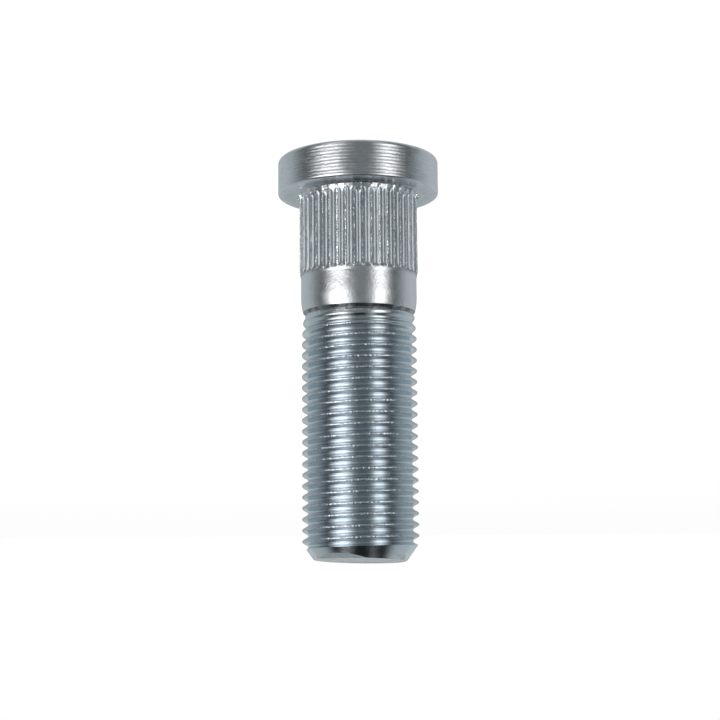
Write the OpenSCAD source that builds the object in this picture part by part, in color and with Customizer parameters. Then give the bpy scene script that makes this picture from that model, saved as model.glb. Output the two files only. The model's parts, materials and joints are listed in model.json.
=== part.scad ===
// Press-in wheel stud with a serrated shank and an M16 x 1.5 right-hand thread.
// It stands on its head: the origin is the centre of the head's outer face, +Z runs to the tip.

/* [Head] */
// Diameter of the round head
head_d = 22.4; // [20:0.1:30]
// Thickness of the head
head_h = 5; // [3:0.1:8]
// Rounding of the outer face's edge
head_outer_round = 0.55; // [0.2:0.05:1]
// Rounding of the edge on the shank's side
head_inner_round = 0.3; // [0.1:0.05:0.8]
// Fillet between the head and the shank
head_fillet = 0.85; // [0.4:0.05:1.2]

/* [Serrations] */
// Diameter over the crests of the serrations
serration_d = 16.45; // [16.2:0.05:17.5]
// Length of the serrated band, from the head to the end of its taper
serration_l = 11.9; // [8:0.1:20]
// Length of the taper from the crests down to the neck
serration_taper_l = 0.85; // [0.4:0.05:2]
// Number of grooves round the shank
groove_count = 44; // [30:1:48]
// Width of a groove at the crests
groove_w = 0.94; // [0.5:0.02:1]
// Depth of a groove below the crests
groove_depth = 0.34; // [0.2:0.02:0.45]
// Length over which a groove runs out at each end
groove_end_l = 0.8; // [0.4:0.05:1.5]

/* [Neck] */
// Diameter of the plain neck
neck_d = 16.05; // [15.6:0.05:16.15]
// Length of the neck's straight part
neck_l = 2.7; // [1:0.1:10]
// Length over which the neck curves in towards the thread
neck_curve_l = 2.8; // [1.5:0.1:5]
// How far the neck's radius curves in before the thread
neck_inset = 0.275; // [0.1:0.025:0.6]
// Height of the small step from the neck's end down to the thread
neck_step = 0.12; // [0.1:0.02:0.3]

/* [Thread] */
// Outside diameter of the thread
thread_d = 15.9; // [15.6:0.02:16]
// Pitch of the thread
thread_pitch = 1.5; // [1:0.05:2]
// Length from the end of the neck to the tip
thread_l = 33.6; // [15:0.1:60]
// Turns over which the thread deepens from nothing
thread_fade = 3; // [1:0.5:5]
// Turn of the thread's start round the axis
thread_turn = -149; // [-180:1:180]

/* [Tip] */
// Diameter of the chamfer's cone at the height of the tip
tip_d = 11.7; // [9:0.1:13.5]
// Angle of the chamfer from the axis
tip_angle = 40; // [30:1:50]
// Tilt of the sheared end face
end_tilt = 3; // [0:0.5:8]
// Direction that the end face tilts towards, round the axis
end_tilt_side = -60; // [-180:1:180]

/* [Hidden] */

// Heights up the axis
serration_z = head_h + serration_l;
neck_curve_z = serration_z + neck_l;
thread_z = neck_curve_z + neck_curve_l;
tip_z = thread_z + thread_l;

// The neck's curve is an arc that leaves the straight part without an edge
neck_end_r = neck_d / 2 - neck_inset;
neck_curve_r = (neck_curve_l * neck_curve_l + neck_inset * neck_inset) / (2 * neck_inset);

// A groove is a round channel, sunk so that it is groove_w wide at the crests
groove_r = (groove_w * groove_w / 4 + groove_depth * groove_depth) / (2 * groove_depth);
groove_axis_r = serration_d / 2 - groove_depth + groove_r;
groove_low_z = head_h + head_fillet;
groove_high_z = serration_z;

// ISO metric profile as [distance along the pitch, depth], each in pitches, crest first.
// Its depth and the radius of its root are shares of the height of the thread's sharp triangle.
flank_angle = 30;
crest_flat = 1 / 8;
triangle_h = sqrt(3) / 2;
root_share = 1 / 6;
depth_share = 17 / 24;
root_r = triangle_h * root_share;
root_depth = triangle_h * depth_share;
root_tangent = root_r * cos(flank_angle);
root_rise = root_r * (1 - sin(flank_angle));
thread_profile = [
    [0, 0],
    [crest_flat, 0],
    [(1 + crest_flat) / 2 - root_tangent, root_depth - root_rise],
    [(1 + crest_flat) / 2, root_depth],
    [(1 + crest_flat) / 2 + root_tangent, root_depth - root_rise]
];
profile_points = len(thread_profile);

// The helix starts one turn inside the neck and ends past the tip, where it is cut off
steps_per_turn = 36;
helix_z = thread_z - thread_pitch;
helix_turns = ceil(thread_l / thread_pitch) + 2;
helix_steps = helix_turns * steps_per_turn;

// Sides of the circles, and how far what cuts reaches past what it cuts
round_sides = 96;
groove_sides = 20;
margin = 1;

// Radius of the thread at a depth, so many turns after its start
function thread_r(turn, depth) =
    let (
        start_r = neck_end_r - neck_step,
        grown = min(1, max(0, turn - 1) / thread_fade)
    )
    start_r + grown * (thread_d / 2 - depth * thread_pitch - start_r);

// One point of the helical surface
function thread_point(step, i) =
    let (
        turn = step / steps_per_turn,
        r = thread_r(turn, thread_profile[i][1]),
        angle = thread_turn + 360 * turn
    )
    [r * cos(angle), r * sin(angle), helix_z + thread_pitch * (turn + thread_profile[i][0])];

// Index of a point, where the point after a turn's last one is the next turn's first
function at(step, i) =
    i < profile_points ? step * profile_points + i : (step + steps_per_turn) * profile_points;

// The side of the thread, as two triangles between each pair of neighbouring steps
function thread_side() = [
    for (step = [0:helix_steps - 1])
        for (i = [0:profile_points - 1])
            if (i < profile_points - 1 || step < helix_steps - steps_per_turn)
                for (corner = [at(step, i + 1), at(step + 1, i)])
                    corner == at(step, i + 1)
                        ? [at(step, i), at(step, i + 1), at(step + 1, i + 1)]
                        : [at(step, i), at(step + 1, i + 1), at(step + 1, i)]
];

// The fan that closes the start of the helix
function start_cap(centre) = concat(
    [for (step = [0:steps_per_turn - 1]) [centre, at(step, 0), at(step + 1, 0)]],
    [for (i = [0:profile_points - 1]) [centre, at(0, i + 1), at(0, i)]]
);

// The fan that closes the end of the helix
function end_cap(centre) =
    let (last = profile_points - 1, first_step = helix_steps - steps_per_turn)
    concat(
        [for (step = [first_step:helix_steps - 1]) [centre, at(step + 1, last), at(step, last)]],
        [for (i = [0:last - 1]) [centre, at(helix_steps, i), at(helix_steps, i + 1)]],
        [[centre, at(first_step, last), at(helix_steps, 0)]]
    );

module thread_helix() {
    side_points = [
        for (step = [0:helix_steps])
            for (i = [0:profile_points - 1])
                thread_point(step, i)
    ];
    start_centre = len(side_points);
    end_centre = start_centre + 1;
    end_z = helix_z + thread_pitch * (helix_turns + 1);
    polyhedron(
        concat(side_points, [[0, 0, helix_z], [0, 0, end_z]]),
        concat(thread_side(), start_cap(start_centre), end_cap(end_centre))
    );
}

// The cone that chamfers the tip
module tip_envelope() {
    wide_r = thread_d / 2 + margin;
    rotate_extrude($fn = round_sides)
        polygon([
            [0, helix_z - margin],
            [wide_r, helix_z - margin],
            [wide_r, tip_z - (wide_r - tip_d / 2) / tan(tip_angle)],
            [tip_d / 2, tip_z],
            [0, tip_z]
        ]);
}

// What the sheared end face takes off; the highest point of the face's rim is the tip
module end_shear() {
    centre_z = tip_z - tip_d / 2 * tan(end_tilt);
    translate([0, 0, centre_z])
        rotate([0, 0, end_tilt_side])
            rotate([0, end_tilt, 0])
                translate([-thread_d, -thread_d, 0])
                    cube([2 * thread_d, 2 * thread_d, thread_d]);
}

module thread() {
    difference() {
        intersection() {
            thread_helix();
            tip_envelope();
        }
        end_shear();
    }
}

module head() {
    rotate_extrude($fn = round_sides)
        difference() {
            square([head_d / 2, head_h]);
            rounding(head_d / 2, 0, head_outer_round, 1, -1);
            rounding(head_d / 2, head_h, head_inner_round, 1, 1);
        }
}

// The corner left outside a rounding: side_x and side_z point out of the solid
module rounding(x, z, r, side_x, side_z) {
    translate([x, z])
        difference() {
            translate([side_x > 0 ? -r : -margin, side_z > 0 ? -r : -margin])
                square(r + margin);
            translate([-side_x * r, -side_z * r])
                circle(r, $fn = round_sides);
        }
}

// The shank from the head to the thread, before its grooves
module shank() {
    serration_r = serration_d / 2;
    rotate_extrude($fn = round_sides) {
        polygon([
            [0, 0],
            [serration_r, 0],
            [serration_r, serration_z - serration_taper_l],
            [neck_d / 2, serration_z],
            [neck_d / 2, neck_curve_z],
            [0, neck_curve_z]
        ]);
        difference() {
            translate([serration_r - margin, head_h - margin])
                square([head_fillet + margin, head_fillet + margin]);
            translate([serration_r + head_fillet, head_h + head_fillet])
                circle(head_fillet, $fn = round_sides);
        }
        intersection() {
            translate([0, neck_curve_z - margin])
                square([neck_d / 2, neck_curve_l + margin]);
            translate([neck_d / 2 - neck_curve_r, neck_curve_z])
                circle(neck_curve_r, $fn = 4 * round_sides);
        }
    }
}

// What the grooves leave standing: a core that flares out where they end
module groove_core() {
    wide_r = serration_d / 2 + margin;
    core_r = serration_d / 2 - groove_depth - margin;
    flare_l = groove_end_l / groove_depth * (wide_r - core_r);
    past_l = groove_end_l / groove_depth * margin;
    rotate_extrude($fn = round_sides)
        polygon([
            [0, groove_low_z - past_l - margin],
            [wide_r, groove_low_z - past_l - margin],
            [wide_r, groove_low_z - past_l],
            [core_r, groove_low_z - past_l + flare_l],
            [core_r, groove_high_z + past_l - flare_l],
            [wide_r, groove_high_z + past_l],
            [wide_r, groove_high_z + past_l + margin],
            [0, groove_high_z + past_l + margin]
        ]);
}

module grooves() {
    difference() {
        translate([0, 0, groove_low_z])
            linear_extrude(groove_high_z - groove_low_z)
                for (i = [0:groove_count - 1])
                    rotate(i * 360 / groove_count)
                        translate([groove_axis_r, 0])
                            circle(groove_r, $fn = groove_sides);
        groove_core();
    }
}

module serrated_shank() {
    difference() {
        shank();
        grooves();
    }
}

module wheel_stud() {
    color("silver") {
        head();
        serrated_shank();
        thread();
    }
}

wheel_stud();
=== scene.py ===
import json
import math
import random

import bmesh
import bpy
from mathutils import Matrix, Vector


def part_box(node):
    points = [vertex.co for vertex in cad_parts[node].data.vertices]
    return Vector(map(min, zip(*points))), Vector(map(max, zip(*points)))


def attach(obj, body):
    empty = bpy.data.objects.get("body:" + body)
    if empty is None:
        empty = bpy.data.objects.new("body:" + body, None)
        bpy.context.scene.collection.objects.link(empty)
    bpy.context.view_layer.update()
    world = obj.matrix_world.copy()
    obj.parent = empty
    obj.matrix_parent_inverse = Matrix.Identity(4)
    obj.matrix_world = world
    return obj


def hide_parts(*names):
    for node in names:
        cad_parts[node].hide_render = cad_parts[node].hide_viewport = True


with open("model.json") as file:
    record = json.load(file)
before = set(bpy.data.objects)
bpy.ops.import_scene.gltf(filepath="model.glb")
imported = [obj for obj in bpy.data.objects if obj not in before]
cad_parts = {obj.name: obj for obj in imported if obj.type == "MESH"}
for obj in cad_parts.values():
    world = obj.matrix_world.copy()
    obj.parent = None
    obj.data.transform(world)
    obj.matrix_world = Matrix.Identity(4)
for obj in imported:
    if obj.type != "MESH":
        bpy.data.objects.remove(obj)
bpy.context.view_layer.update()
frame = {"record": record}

mm = 0.001

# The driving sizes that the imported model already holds
mounts = {mount["name"]: mount for mount in frame["record"]["mounts"]}
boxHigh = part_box("wheel_stud")[1]
headRadius = boxHigh[0] / mm
tipHeight = boxHigh[2] / mm
seatHeight = mounts["hub_seat"]["pos_m"][2] / mm
neckRadius = mounts["neck"]["dims"]["r_mm"]
neckMiddle = mounts["neck"]["pos_m"][2] / mm
neckLength = mounts["neck"]["dims"]["length_mm"]
bandEnd = neckMiddle - neckLength / 2
curveStart = neckMiddle + neckLength / 2


class Socket:
    # One output of the node tree, with the operators that the shader maths uses
    def __init__(self, tree, link):
        self.tree = tree
        self.link = link

    def mathNode(self, operation, *values):
        return self.tree.add("ShaderNodeMath", {"operation": operation}, list(values))

    def __add__(self, other):
        return self.mathNode("ADD", self, other)

    __radd__ = __add__

    def __sub__(self, other):
        return self.mathNode("SUBTRACT", self, other)

    def __rsub__(self, other):
        return self.mathNode("SUBTRACT", other, self)

    def __mul__(self, other):
        return self.mathNode("MULTIPLY", self, other)

    __rmul__ = __mul__

    def __truediv__(self, other):
        return self.mathNode("DIVIDE", self, other)

    def span(self, low, high):
        # 0 below low, 1 above high, smooth between
        return self.tree.add("ShaderNodeMapRange",
                             {"interpolation_type": "SMOOTHSTEP"}, [self, low, high, 0.0, 1.0])


class Tree:
    def __init__(self, owner):
        owner.use_nodes = True
        self.nodes = owner.node_tree.nodes
        self.links = owner.node_tree.links
        self.nodes.clear()

    def add(self, kind, settings=None, values=(), output=0):
        node = self.nodes.new(kind)
        for name, value in (settings or {}).items():
            if name == "stops":
                self.setStops(node.color_ramp, value)
            else:
                setattr(node, name, value)
        pairs = values.items() if isinstance(values, dict) else enumerate(values)
        for name, value in pairs:
            if isinstance(value, Socket):
                self.links.new(value.link, node.inputs[name])
            elif value is not None:
                node.inputs[name].default_value = value
        if not len(node.outputs):
            return None
        found = node.outputs[output] if output != "Result" else [
            socket for socket in node.outputs if socket.enabled and socket.name == "Result"][0]
        return Socket(self, found)

    def setStops(self, ramp, stops):
        while len(ramp.elements) > 1:
            ramp.elements.remove(ramp.elements[-1])
        ramp.elements[0].position = stops[0][0]
        ramp.elements[0].color = stops[0][1]
        for place, colour in stops[1:]:
            ramp.elements.new(place).color = colour


def grey(value):
    return (value, value, value, 1.0)


# The stud: lengths in millimetres, angles in degrees
stud = {
    "outerRound": 0.55,          # edge of the head's outer face
    "innerRound": 0.3,           # edge of the head on the shank's side
    "rimLines": 9,               # rings that the turning tool left on the rim
    "rimLineDepth": 0.02,
    "rimLineSpread": (0.7, 1.25),
    "fillet": 0.85,              # between the head and the shank
    "serrationRadius": 8.225,
    "serrationTaper": 0.85,      # from the crests down to the neck
    "grooves": 44,
    "grooveHalf": 0.44,          # half of a groove's width, in shares of its sector
    "grooveFlat": 2.6,           # the higher, the flatter a groove's bottom and the steeper its sides
    "grooveDepth": 0.34,
    "grooveEnd": 0.8,            # length over which a groove runs out
    "grooveFoot": 0.45,          # where the grooves begin, in shares of the fillet
    "grooveShift": (-0.025, 0.025),  # how the grooves differ: sideways, in shares of a sector,
    "grooveDeepen": (0.9, 1.08),     # in depth, as a factor,
    "grooveLowEnd": (-0.15, 0.25),   # and in where they run out
    "grooveHighEnd": (-0.12, 0.08),
    "crestWander": (-0.02, 0.02),    # how their crests differ: sideways, and in wear
    "crestWear": (0.0, 0.03),
    "curveLength": 2.5,          # the neck's curve and its end groove, up to the thread's start
    # The groove at the neck's end, as heights below that end and radii
    "neckGroove": [(0.50, 7.775), (0.48, 7.765), (0.10, 7.40), (0.07, 7.385), (0.03, 7.395), (0.0, 7.43)],
    "threadRadius": 7.95,
    "pitch": 1.5,
    "blankRadius": 7.63,         # of the bare blank that the thread comes out of
    "blankRise": 0.2,            # how far the blank rises from the groove
    "blankRiseLength": 0.16,
    "crestTurns": 2.2,           # turns over which the crests rise and the roots sink
    "rootTurns": 6.0,
    "crestGrowth": 0.7,          # powers of that growth: below 1 it is fast at first
    "rootGrowth": 0.35,
    "threadSteps": 120,          # flat sides in one turn of the thread
    "threadGap": 0.06,           # bridged between the neck's end and the thread's lowest ring
    "threadSpare": 0.6,          # of thread above the tip, which the moulds take off
    "crestRound": 0.16,          # radii of the thread's crest and root, in pitches
    "rootRound": 0.155,
    "flankAngle": 30.0,
    "crestLead": 1.014,          # a crest's height at the +X side, above whole pitches
    "chamferAngle": 35.0,        # from the axis
    "chamferRadius": 6.2,        # of the chamfer's cone at the height of the tip
    "endRadius": 5.85,           # where the end face reaches the height of the tip
    "endTilt": 3.0,              # lean of the sheared end face
    "endTiltSide": -60.0,
    "breakTilt": 23.4,           # lean of the corner that broke away at one side
    "breakTiltSide": -63.0,
    "breakTop": 1.76,            # height of that corner's plane on the axis, above the tip
    "endRound": 1.6,             # rounding between the chamfer and the end face
    "mouldSides": 120,
    "tipReach": 3.0,             # how far below the tip its cuts can go
    "sharpAngle": 35.0,          # edges that turn by more stay sharp
    "grooveSharpAngle": 20.0,    # the same at the neck's end groove
    "seed": 7,
}

# Where the neck ends and the thread starts
neckEnd = curveStart + stud["curveLength"]

# The places of the vertices across one groove, whose edges are at grooveHalf, and one crest
sectorShares = [-0.44, -0.34, -0.18, 0.0, 0.18, 0.34, 0.44, 0.5]


def arc(centre, radius, start, end, steps):
    # Points of a round stretch of an outline; 0 degrees points outwards, 90 towards the tip
    points = []
    for i in range(steps + 1):
        angle = math.radians(start + (end - start) * i / steps)
        points.append((centre[0] + radius * math.cos(angle), centre[1] + radius * math.sin(angle)))
    return points


def rimLines(low, high, draw):
    # Shallow hollows with a narrow ridge between each two, as a round-nosed tool leaves them
    points = []
    width = (high - low) / stud["rimLines"]
    for line in range(stud["rimLines"]):
        depth = stud["rimLineDepth"] * draw.uniform(*stud["rimLineSpread"])
        for share in (0.05, 0.28, 0.5, 0.72, 0.95):
            hollow = 1 - (2 * share - 1) ** 2
            points.append((headRadius - depth * hollow, low + width * (line + share)))
    return points


def bodyOutline(draw):
    crest = stud["serrationRadius"]
    outer, inner, fillet = stud["outerRound"], stud["innerRound"], stud["fillet"]
    taperStart = bandEnd - stud["serrationTaper"]
    points = [(0.0, 0.0), (headRadius / 2, 0.0)]
    points += arc((headRadius - outer, outer), outer, -90, 0, 6)
    points += rimLines(outer + 0.05, seatHeight - inner - 0.02, draw)
    points += arc((headRadius - inner, seatHeight - inner), inner, 0, 90, 4)
    points += [(headRadius - 1.2, seatHeight)]
    points += arc((crest + fillet, seatHeight + fillet), fillet, 270, 180, 9)
    bandStart = seatHeight + fillet
    dense = stud["grooveEnd"] + 0.2
    points += [(crest, bandStart + dense * i / 8) for i in range(1, 9)]
    middle = bandEnd - dense - bandStart - dense
    points += [(crest, bandStart + dense + middle * i / 22) for i in range(1, 22)]
    for i in range(11):
        z = bandEnd - dense + dense * i / 10
        drop = max(0.0, (z - taperStart) / stud["serrationTaper"])
        points.append((crest - (crest - neckRadius) * drop, z))
    points += [(neckRadius, bandEnd + neckLength * share) for share in (0.05, 0.35, 0.7, 1.0)]
    # The curve leaves the straight neck without an edge and ends at a turned groove
    groove = stud["neckGroove"]
    curve = stud["curveLength"] - groove[0][0]
    for share in (0.11, 0.22, 0.33, 0.44, 0.56, 0.67, 0.78, 0.89):
        points.append((neckRadius - (neckRadius - groove[0][1]) * share ** 2, curveStart + curve * share))
    points += [(r, neckEnd - before) for before, r in groove]
    return points


def spinOutline(shape, points, steps):
    # A full turn of an outline that starts or ends on the axis
    verts = [shape.verts.new((r, 0, z)) for r, z in points]
    edges = [shape.edges.new(pair) for pair in zip(verts, verts[1:])]
    bmesh.ops.spin(shape, geom=verts + edges, cent=(0, 0, 0), axis=(0, 0, 1), dvec=(0, 0, 0),
                   angle=2 * math.pi, steps=steps, use_merge=True)
    bmesh.ops.remove_doubles(shape, verts=shape.verts, dist=0.002)


def pressGrooves(shape, draw):
    # Moves the spun vertices into the grooves; each groove differs a little, as rolled ones do
    crest = stud["serrationRadius"]
    low = seatHeight + stud["fillet"] * stud["grooveFoot"]
    high = bandEnd
    half = stud["grooveHalf"]
    count = stud["grooves"]
    perGroove = [{"shift": draw.uniform(*stud["grooveShift"]), "depth": draw.uniform(*stud["grooveDeepen"]),
                  "low": draw.uniform(*stud["grooveLowEnd"]), "high": draw.uniform(*stud["grooveHighEnd"])}
                 for groove in range(count)]
    slots = len(sectorShares)
    for vert in shape.verts:
        radius = math.hypot(vert.co.x, vert.co.y)
        z = vert.co.z
        if radius < 1 or z < seatHeight:
            continue
        place = round(math.atan2(vert.co.y, vert.co.x) / (2 * math.pi) * count * slots) % (count * slots)
        sector, slot = divmod(place, slots)
        share = sectorShares[slot]
        groove = perGroove[sector]
        turn = sector + share
        if low - 0.2 < z < high + 0.3:
            if slot < slots - 1:
                turn += groove["shift"]
            if abs(share) >= half:
                turn += draw.uniform(*stud["crestWander"])
            hollow = 1 - abs(share / half) ** stud["grooveFlat"]
            bottom = crest - stud["grooveDepth"] * groove["depth"] * hollow
            rise = stud["grooveDepth"] / stud["grooveEnd"]
            ramp = crest - rise * min(z - low - groove["low"], high + groove["high"] - z)
            if abs(share) < half:
                radius = min(radius, max(bottom, ramp))
            elif low + 0.6 < z < high - stud["serrationTaper"]:
                radius -= draw.uniform(*stud["crestWear"])
        angle = turn * 2 * math.pi / count
        vert.co.x = radius * math.cos(angle)
        vert.co.y = radius * math.sin(angle)


def threadOutline():
    # One pitch from crest to crest, as [distance, depth] in pitches, with round crests and roots
    crestRound, rootRound = stud["crestRound"], stud["rootRound"]
    flank = math.radians(stud["flankAngle"])
    turned = math.pi / 2 - flank
    crestEnd = (crestRound * math.sin(turned), crestRound * (1 - math.cos(turned)))
    rootDepth = crestEnd[1] + (0.5 - crestEnd[0]) / math.tan(flank) - rootRound
    rootEnd = (0.5 - rootRound * math.sin(turned), rootDepth - rootRound * (1 - math.cos(turned)))
    half = [(crestRound * math.sin(turned * share), crestRound * (1 - math.cos(turned * share)))
            for share in (0.0, 1 / 3, 2 / 3, 1.0)]
    half += [tuple(a + (b - a) * share for a, b in zip(crestEnd, rootEnd)) for share in (0.08, 0.92)]
    for share in (1.0, 0.5, 0.0):
        angle = turned * share
        half.append((0.5 - rootRound * math.sin(angle), rootDepth - rootRound * (1 - math.cos(angle))))
    return half + [(1 - share, depth) for share, depth in reversed(half[:-1])]


def makeThread():
    pitch = stud["pitch"]
    steps = stud["threadSteps"]
    turns = math.ceil((tipHeight - neckEnd) / pitch) + 3
    lead = neckEnd - 2 * pitch + stud["crestLead"]
    shape = bmesh.new()
    verts = [shape.verts.new((stud["threadRadius"] - depth * pitch, 0, lead + share * pitch))
             for share, depth in threadOutline()]
    edges = [shape.edges.new(pair) for pair in zip(verts, verts[1:])]
    bmesh.ops.spin(shape, geom=verts + edges, cent=(0, 0, 0), axis=(0, 0, 1),
                   dvec=(0, 0, pitch / steps), angle=2 * math.pi, steps=steps, use_merge=False)
    firstTurn = shape.verts[:] + shape.edges[:] + shape.faces[:]
    for turn in range(1, turns):
        copied = bmesh.ops.duplicate(shape, geom=firstTurn)["geom"]
        bmesh.ops.translate(shape, vec=(0, 0, pitch * turn),
                            verts=[part for part in copied if isinstance(part, bmesh.types.BMVert)])
    bmesh.ops.remove_doubles(shape, verts=shape.verts, dist=0.01)
    print("thread wound:", turns, "turns")
    for vert in shape.verts:
        radius = math.hypot(vert.co.x, vert.co.y)
        above = max(0.0, vert.co.z - neckEnd)
        if radius > stud["blankRadius"]:
            grown = min(1.0, above / pitch / stud["crestTurns"]) ** stud["crestGrowth"]
        else:
            grown = min(1.0, above / pitch / stud["rootTurns"]) ** stud["rootGrowth"]
        wanted = stud["blankRadius"] + grown * (radius - stud["blankRadius"])
        wanted -= stud["blankRise"] * max(0.0, 1 - above / stud["blankRiseLength"])
        vert.co.x *= wanted / radius
        vert.co.y *= wanted / radius
    for height, side in ((neckEnd + stud["threadGap"], 1), (tipHeight + stud["threadSpare"], -1)):
        bmesh.ops.bisect_plane(shape, geom=shape.verts[:] + shape.edges[:] + shape.faces[:],
                               dist=0.0005, plane_co=(0, 0, height), plane_no=(0, 0, side),
                               clear_inner=True)
    bmesh.ops.holes_fill(shape, edges=[edge for edge in shape.edges if edge.is_boundary], sides=0)
    bmesh.ops.recalc_face_normals(shape, faces=shape.faces)
    return shape


def tilted(shape, tilt, side, height):
    # Leans a mould that was made round the origin, and lifts it to its height
    turn = Matrix.Rotation(math.radians(side), 4, "Z")
    lean = turn @ Matrix.Rotation(math.radians(tilt), 4, "Y") @ turn.inverted()
    bmesh.ops.transform(shape, matrix=Matrix.Translation((0, 0, height)) @ lean, verts=shape.verts)
    bmesh.ops.recalc_face_normals(shape, faces=shape.faces)
    return shape


def tipMoulds():
    # The chamfer's cone, the tilted end face and the plane of the broken corner
    deep = neckMiddle - tipHeight
    wide = headRadius
    slope = math.tan(math.radians(stud["chamferAngle"]))
    bend = stud["endRound"]
    reach = bend * math.tan(math.radians(45 - stud["chamferAngle"] / 2))
    cone = [(0.0, deep), (wide, deep), (wide, (stud["chamferRadius"] - wide) / slope)]
    cone += arc((stud["chamferRadius"] - reach, -bend), bend, 90 - stud["chamferAngle"], 90, 5)
    cone += [(0.0, 0.0)]
    face = [(0.0, deep), (3 * wide, deep), (3 * wide, 0.0), (0.0, 0.0)]
    faceHeight = tipHeight - stud["endRadius"] * math.tan(math.radians(stud["endTilt"]))
    shapes = []
    for outline, tilt, side, height in (
            (cone, 0.0, 0.0, tipHeight),
            (face, stud["endTilt"], stud["endTiltSide"], faceHeight),
            (face, stud["breakTilt"], stud["breakTiltSide"], tipHeight + stud["breakTop"])):
        shape = bmesh.new()
        spinOutline(shape, outline, stud["mouldSides"])
        shapes.append(tilted(shape, tilt, side, height))
    return shapes


def toObject(name, shape):
    mesh = bpy.data.meshes.new(name)
    shape.to_mesh(mesh)
    shape.free()
    made = bpy.data.objects.new(name, mesh)
    bpy.context.scene.collection.objects.link(made)
    return made


def cutTip(shape):
    # Keeps what lies inside all three moulds
    thread = toObject("threadBlank", shape)
    moulds = [toObject("tipMould", mould) for mould in tipMoulds()]
    for mould in moulds:
        cut = thread.modifiers.new("cut", "BOOLEAN")
        cut.operation = "INTERSECT"
        cut.solver = "MANIFOLD"
        cut.object = mould
    depsgraph = bpy.context.evaluated_depsgraph_get()
    result = bmesh.new()
    result.from_object(thread, depsgraph)
    for made in [thread] + moulds:
        mesh = made.data
        bpy.data.objects.remove(made)
        bpy.data.meshes.remove(mesh)
    return result


def joinThread(shape, thread):
    # Opens the thread's lower end and closes the narrow gap between it and the neck
    start = min(vert.co.z for vert in thread.verts)
    floor = [face for face in thread.faces if all(vert.co.z < start + 0.001 for vert in face.verts)]
    bmesh.ops.delete(thread, geom=floor, context="FACES")
    mesh = bpy.data.meshes.new("thread")
    thread.to_mesh(mesh)
    thread.free()
    shape.from_mesh(mesh)
    bpy.data.meshes.remove(mesh)
    rims = [edge for edge in shape.edges if edge.is_boundary]
    bmesh.ops.bridge_loops(shape, edges=rims)


def tipCut(face):
    # Which cut of the tip made a face, or None for the rest of the stud
    if face.calc_center_median().z < tipHeight - stud["tipReach"]:
        return None
    if abs(face.normal.z - math.sin(math.radians(stud["chamferAngle"]))) < 0.02:
        return "chamfer"
    for name in ("end", "break"):
        lean, turn = math.radians(stud[name + "Tilt"]), math.radians(stud[name + "TiltSide"])
        normal = Vector((math.sin(lean) * math.cos(turn), math.sin(lean) * math.sin(turn), math.cos(lean)))
        if face.normal.dot(normal) > 0.9995:
            return name
    return None


def makeStud():
    draw = random.Random(stud["seed"])
    shape = bmesh.new()
    spinOutline(shape, bodyOutline(draw), stud["grooves"] * len(sectorShares))
    pressGrooves(shape, draw)
    print("head, serrations and neck made:", len(shape.faces), "faces")
    thread = cutTip(makeThread())
    print("thread and tip made:", len(thread.faces), "faces")
    joinThread(shape, thread)
    bmesh.ops.recalc_face_normals(shape, faces=shape.faces)
    for face in shape.faces:
        face.smooth = True
    grooveLength = stud["neckGroove"][0][0] + 0.05
    for edge in shape.edges:
        inGroove = neckEnd - grooveLength < edge.verts[0].co.z < neckEnd + 0.02
        limit = stud["grooveSharpAngle"] if inGroove else stud["sharpAngle"]
        soft = edge.calc_face_angle(0.0) < math.radians(limit)
        cuts = {tipCut(face) for face in edge.link_faces}
        edge.smooth = soft and (len(cuts) == 1 or None in cuts)
    print("open edges:", sum(1 for edge in shape.edges if not edge.is_manifold))
    bmesh.ops.scale(shape, vec=(mm, mm, mm), verts=shape.verts)
    made = toObject("zincStud", shape)
    print("triangles:", sum(len(face.vertices) - 2 for face in made.data.polygons))
    return made


# Camera, lights and floor of the studio: lengths in millimetres, angles in degrees
studio = {
    "cameraPlace": (-0.08, -209.55, 59.63),
    "cameraPitch": 81.472,       # degrees up from straight down
    "cameraRoll": 179.541,       # the photograph shows the stud with its head up
    "cameraLens": 76.75,
    "sensorWidth": 36.0,
    "clipStart": 10.0,
    "clipEnd": 20000.0,
    "leftStrength": 3.0,         # of the two soft boxes that the steel reflects
    "rightStrength": 2.1,
    "boxTint": (1.07, 1.02, 1.0),
    "wallTint": (0.915, 0.985, 1.0),
    "ceilingShade": 0.93,        # how much darker the walls get above the boxes
    "groundTone": 0.6,
    "behindTone": 0.15,          # added to the walls behind the stud, low down
    "behindDrop": 0.22,          # taken off again higher up
    "lampSize": 600.0,
    "lampPower": 3.0,            # watts
    "lampPlace": (100.0, -100.0, 600.0),
    "lampLean": 10.0,
    "floorSize": 3000.0,
    "floorGlow": 1.15,
    "floorColour": (0.9, 0.9, 0.9, 1.0),
    "floorShare": 0.22,          # how much of the floor's tone takes shadow
}


def makeCamera():
    camera = bpy.data.objects.new("camera", bpy.data.cameras.new("camera"))
    bpy.context.scene.collection.objects.link(camera)
    place = Matrix.Translation(Vector(studio["cameraPlace"]) * mm)
    pitch = Matrix.Rotation(math.radians(studio["cameraPitch"]), 4, "X")
    roll = Matrix.Rotation(math.radians(studio["cameraRoll"]), 4, "Z")
    camera.matrix_world = place @ pitch @ roll
    camera.data.lens = studio["cameraLens"]
    camera.data.sensor_width = studio["sensorWidth"]
    camera.data.clip_start = studio["clipStart"] * mm
    camera.data.clip_end = studio["clipEnd"] * mm
    bpy.context.scene.camera = camera


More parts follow.
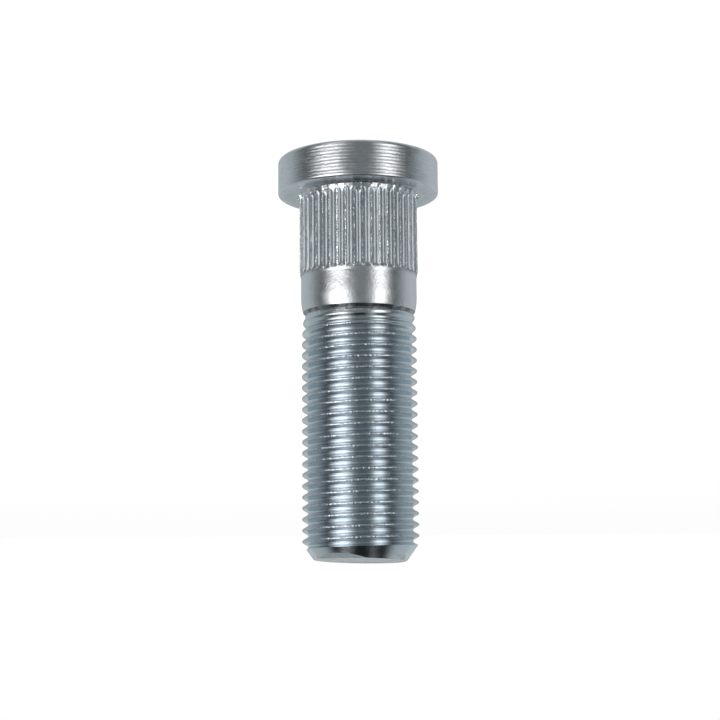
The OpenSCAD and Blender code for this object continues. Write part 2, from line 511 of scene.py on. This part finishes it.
def makeWorld():
    world = bpy.data.worlds.new("studio")
    bpy.context.scene.world = world
    tree = Tree(world)
    generated = tree.add("ShaderNodeTexCoord", output="Generated")
    direction = tree.add("ShaderNodeSeparateXYZ", values=[generated]).link.node
    x, y, z = [Socket(tree, direction.outputs[axis]) for axis in "XYZ"]
    azimuth = tree.add("ShaderNodeMath", {"operation": "ARCTAN2"}, [x, y * -1.0])
    turn = azimuth / (2 * math.pi) + 0.5
    height = tree.add("ShaderNodeMath", {"operation": "ARCSINE"}, [z]) * (180 / math.pi)

    def at(degrees):
        return degrees / 360 + 0.5

    backdrop = tree.add("ShaderNodeValToRGB", {"stops": [
        (at(-180), grey(0.45)), (at(-165), grey(0.48)), (at(-150), grey(0.55)), (at(-128), grey(0.6)),
        (at(-108), grey(0.52)), (at(-92), grey(0.33)), (at(-78), grey(0.14)), (at(-66), grey(0.12)),
        (at(-30), grey(0.18)), (at(0), grey(0.21)), (at(28), grey(0.18)), (at(64), grey(0.1)),
        (at(80), grey(0.11)), (at(93), grey(0.25)), (at(112), grey(0.5)), (at(130), grey(0.56)),
        (at(150), grey(0.55)), (at(165), grey(0.48)), (at(180), grey(0.45))]}, [turn])

    def sideRamp(*stops):
        return tree.add("ShaderNodeValToRGB", {"stops": [
            (at(degrees), grey(value)) for degrees, value in stops]}, [turn])

    def heightRamp(*stops):
        return tree.add("ShaderNodeValToRGB", {"stops": [
            ((degrees + 90) / 180, grey(value)) for degrees, value in stops]}, [height / 180 + 0.5])

    leftBox = sideRamp((6, 0), (16, 0.12), (26, 0.55), (35, 1), (47, 1), (61, 0.4), (72, 0.06), (80, 0))
    rightBox = sideRamp((-72, 0), (-60, 0.2), (-49, 0.85), (-42, 1), (-36, 0.85), (-28, 0.22), (-18, 0))
    leftHeights = heightRamp((-70, 0), (-60, 0.28), (-40, 0.28), (-28, 0.1), (-16, 0.22), (-14, 0.09),
                             (-10.9, 0.1), (-9.6, 0.9), (22, 1), (42, 0.28), (60, 0.28), (68, 0))
    rightHeights = heightRamp((-70, 0), (-60, 0.2), (-40, 0.2), (-28, 0.1), (-17, 0.3), (-13.5, 0.7),
                              (-10, 1), (22, 1), (42, 0.2), (60, 0.2), (68, 0))
    down = 1 - height.span(-80.0, -62.0)
    ceiling = height.span(46.0, 60.0)
    walls = (backdrop * (1 - down) + down * studio["groundTone"]) * (1 - ceiling * studio["ceilingShade"])
    behind = sideRamp((-180, 1), (-150, 1), (-125, 0), (125, 0), (150, 1), (180, 1))
    extra = studio["behindTone"] - height.span(22.0, 36.0) * studio["behindDrop"]
    walls = walls + behind * height.span(4.0, 12.0) * extra
    boxes = (leftBox * leftHeights * studio["leftStrength"]
             + rightBox * rightHeights * studio["rightStrength"])
    cool = tree.add("ShaderNodeVectorMath", {"operation": "MULTIPLY"}, [walls, studio["wallTint"]])
    lit = tree.add("ShaderNodeVectorMath", {"operation": "MULTIPLY_ADD"}, [boxes, studio["boxTint"], cool])
    isCamera = tree.add("ShaderNodeLightPath", output="Is Camera Ray")
    shown = tree.add("ShaderNodeMix", {"data_type": "RGBA"}, {0: isCamera, 6: lit, 7: grey(1)}, "Result")
    light = tree.add("ShaderNodeBackground", values=[shown, 1.0])
    tree.add("ShaderNodeOutputWorld", values=[light])


def makeFloor():
    mesh = bpy.data.meshes.new("floor")
    shape = bmesh.new()
    bmesh.ops.create_grid(shape, x_segments=1, y_segments=1, size=studio["floorSize"] / 2 * mm)
    shape.to_mesh(mesh)
    shape.free()
    floor = bpy.data.objects.new("floor", mesh)
    bpy.context.scene.collection.objects.link(floor)
    material = bpy.data.materials.new("paleFloor")
    tree = Tree(material)
    isGlossy = tree.add("ShaderNodeLightPath", output="Is Glossy Ray")
    glow = tree.add("ShaderNodeEmission", values=[(1, 1, 1, 1), studio["floorGlow"]])
    matt = tree.add("ShaderNodeBsdfDiffuse", values=[studio["floorColour"]])
    seen = tree.add("ShaderNodeMixShader", values=[studio["floorShare"], glow, matt])
    clear = tree.add("ShaderNodeBsdfTransparent")
    mixed = tree.add("ShaderNodeMixShader", values=[isGlossy, seen, clear])
    tree.add("ShaderNodeOutputMaterial", values=[mixed])
    mesh.materials.append(material)


def makeLamp():
    lamp = bpy.data.lights.new("topLight", "AREA")
    lamp.size = studio["lampSize"] * mm
    lamp.energy = studio["lampPower"]
    topLight = bpy.data.objects.new("topLight", lamp)
    topLight.location = Vector(studio["lampPlace"]) * mm
    topLight.rotation_euler = (math.radians(studio["lampLean"]), math.radians(studio["lampLean"]), 0)
    topLight.visible_glossy = False
    bpy.context.scene.collection.objects.link(topLight)


# The zinc plating: colours, and sizes and depths of its unevenness in millimetres
zinc = {
    "colour": (0.66, 0.70, 0.73, 1.0),
    "threadColour": (0.57, 0.64, 0.69, 1.0),
    # painted shade: the darker colour mixed into the serrations' channels, the rim's broken lines and the
    # seat near the fillet
    "paintedShadeColour": (0.43, 0.49, 0.53, 1.0),
    # painted shade: near black in the turned groove at the neck's end, where shade falls
    "grooveShadeColour": (0.09, 0.09, 0.10, 1.0),
    "smudgeColour": (0.34, 0.33, 0.34, 1.0),
    "smudgeShare": 0.7,
    "smudgeSize": 0.8,
    "smudgeStretch": (2.5, 2.5, 1.0),
    "stainColour": (0.50, 0.49, 0.48, 1.0),
    "stainShare": 0.5,
    "stainSize": 3.0,
    "shadeSize": 0.5,            # of the patches of painted shade along the serrations' channels
    "shadeStretch": (1.0, 1.0, 9.0),
    "mottleSize": 1.1,
    "mottleDepth": 0.012,
    "dentSize": 2.4,             # the shallow dents of the neck
    "dentDepth": 0.03,
    "neckMottle": 0.004,
    "neckGrain": 0.01,
    "seatShadeShare": 0.45,           # of the painted shade on the seat under the head, near the fillet
    "grainSize": 0.25,
    "grainDepth": 0.009,
    "threadGrain": 0.003,
    "beadSize": 0.3,             # the beads on the crests of the thread and the serrations
    "crestBead": 0.1,
    "ridgeBead": 0.09,
    "collarBead": 0.06,
    "streakSize": 0.14,          # the broken lines round the rim
    "streakStretch": (12.0, 12.0, 1.0),
    "streakDepth": 0.022,
    # painted shade darkening the rim's broken lines, over the real turning marks that their bump gives
    "streakShadeShare": 0.2,
    "endDepth": 0.006,           # the rough surface of the sheared end
    "roughness": 0.17,
    "roughnessSpread": 0.07,
    "threadRoughness": -0.04,    # added to the roughness in these places
    "bandRoughness": 0.1,
    "neckRoughness": 0.02,
    "seatRoughness": 0.1,
    "endRoughness": 0.03,
}


def makeZinc():
    material = bpy.data.materials.new("zinc_plated_steel")
    tree = Tree(material)
    place = tree.add("ShaderNodeTexCoord", output="Object")
    split = tree.add("ShaderNodeSeparateXYZ", values=[place]).link.node
    x, y, height = [Socket(tree, split.outputs[axis]) / mm for axis in "XYZ"]
    radius = tree.add("ShaderNodeMath", {"operation": "SQRT"}, [x * x + y * y])

    def noiseAt(size, detail=2.0, stretch=(1, 1, 1)):
        # Clouds whose lumps are about so many millimetres across, drawn out where stretch is above 1
        scale = tuple(1 / (size * mm * share) for share in stretch)
        scaled = tree.add("ShaderNodeVectorMath", {"operation": "MULTIPLY"}, [place, scale])
        return tree.add("ShaderNodeTexNoise", values={
            "Vector": scaled, "Scale": 1.0, "Detail": detail, "Roughness": 0.6})

    def mix(share, first, second):
        return tree.add("ShaderNodeMix", {"data_type": "RGBA"}, {0: share, 6: first, 7: second}, "Result")

    # Where each finish and each painted shade lies, by height and radius, with soft edges
    threaded = height.span(curveStart + 2.0, curveStart + 3.4)
    banded = height.span(seatHeight + 0.5, seatHeight + 0.9) * (1 - height.span(bandEnd - 0.3, bandEnd))
    onNeck = height.span(bandEnd - 0.3, bandEnd) * (1 - threaded)
    onRim = 1 - height.span(seatHeight - 0.35, seatHeight - 0.2)
    onSeat = (height.span(seatHeight - 0.1, seatHeight - 0.02)
              * (1 - height.span(seatHeight + 0.1, seatHeight + 0.4)))
    onEnd = height.span(tipHeight - 1.2, tipHeight - 0.6)
    crest = threaded * radius.span(stud["threadRadius"] - 0.14, stud["threadRadius"] - 0.03) * (1 - onEnd)
    ridge = banded * radius.span(stud["serrationRadius"] - 0.11, stud["serrationRadius"] - 0.03)
    # inGroove marks the turned groove at the neck's end, which gets painted shade below
    inGroove = height.span(neckEnd - 0.52, neckEnd - 0.42) * (1 - height.span(neckEnd - 0.1, neckEnd))
    collar = height.span(neckEnd - 0.02, neckEnd + 0.1) * (1 - height.span(neckEnd + 0.4, neckEnd + 0.6))

    grain = noiseAt(zinc["grainSize"])
    mottle = noiseAt(zinc["mottleSize"])
    stain = noiseAt(zinc["stainSize"], 4.0)
    bead = noiseAt(zinc["beadSize"], 1.0)
    dent = noiseAt(zinc["dentSize"], 1.0)
    streak = noiseAt(zinc["streakSize"], 2.0, zinc["streakStretch"])
    smudge = noiseAt(zinc["smudgeSize"], 4.0, zinc["smudgeStretch"]).span(0.45, 0.65)
    shade = noiseAt(zinc["shadeSize"], 2.0, zinc["shadeStretch"]).span(0.35, 0.65)
    plain = mix(stain.span(0.52, 0.72) * zinc["stainShare"], zinc["colour"], zinc["stainColour"])
    # Painted shade: the serrations' channels darker than their crests, darker broken lines round the rim,
    # and the seat darker near the fillet
    paintedShadeAmount = ((banded - ridge) * (shade * 0.5 + 0.5) + streak.span(0.4, 0.6) * onRim * zinc["streakShadeShare"]
            + onSeat * (1 - radius.span(9.4, 11.0)) * zinc["seatShadeShare"])
    shadedColour = mix(paintedShadeAmount, plain, zinc["paintedShadeColour"])
    blue = mix(threaded * (1 - onEnd), shadedColour, zinc["threadColour"])
    worn = mix(smudge * onEnd * zinc["smudgeShare"], blue, zinc["smudgeColour"])
    # Paints shade into the turned groove at the neck's end: the colour goes near black there, patchy with
    # the mottle
    colour = mix(inGroove * (0.6 + mottle.span(0.4, 0.6) * 0.35), worn, zinc["grooveShadeColour"])
    roughness = (mottle.span(0.3, 0.7) * zinc["roughnessSpread"] + zinc["roughness"]
                 + (banded - ridge) * zinc["bandRoughness"] + onNeck * zinc["neckRoughness"]
                 + onSeat * zinc["seatRoughness"] + onEnd * zinc["endRoughness"]
                 + threaded * zinc["threadRoughness"])
    smooth = 1 - (1 - threaded) * (1 - onSeat)
    depth = (grain * (smooth * (zinc["threadGrain"] - zinc["grainDepth"]) + zinc["grainDepth"])
             + mottle * zinc["mottleDepth"] * (1 - onSeat * 0.8)
             + (dent * zinc["dentDepth"] + mottle * zinc["neckMottle"] + bead * zinc["neckGrain"]) * onNeck
             + bead * (crest * zinc["crestBead"] + ridge * zinc["ridgeBead"] + collar * zinc["collarBead"])
             + streak * onRim * zinc["streakDepth"] + smudge * onEnd * zinc["endDepth"])
    bump = tree.add("ShaderNodeBump", values={"Strength": 1.0, "Distance": mm, "Height": depth})
    surface = tree.add("ShaderNodeBsdfPrincipled", values={
        "Base Color": colour, "Metallic": 1.0, "Roughness": roughness, "Normal": bump})
    tree.add("ShaderNodeOutputMaterial", values=[surface])
    print("zinc plating made")
    return material


scene = bpy.context.scene
scene.view_settings.view_transform = "Standard"
makeCamera()
makeWorld()
makeFloor()
makeLamp()
print("studio made")
zincStud = makeStud()
zincStud.data.materials.append(makeZinc())
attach(zincStud, "root")
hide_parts("wheel_stud")
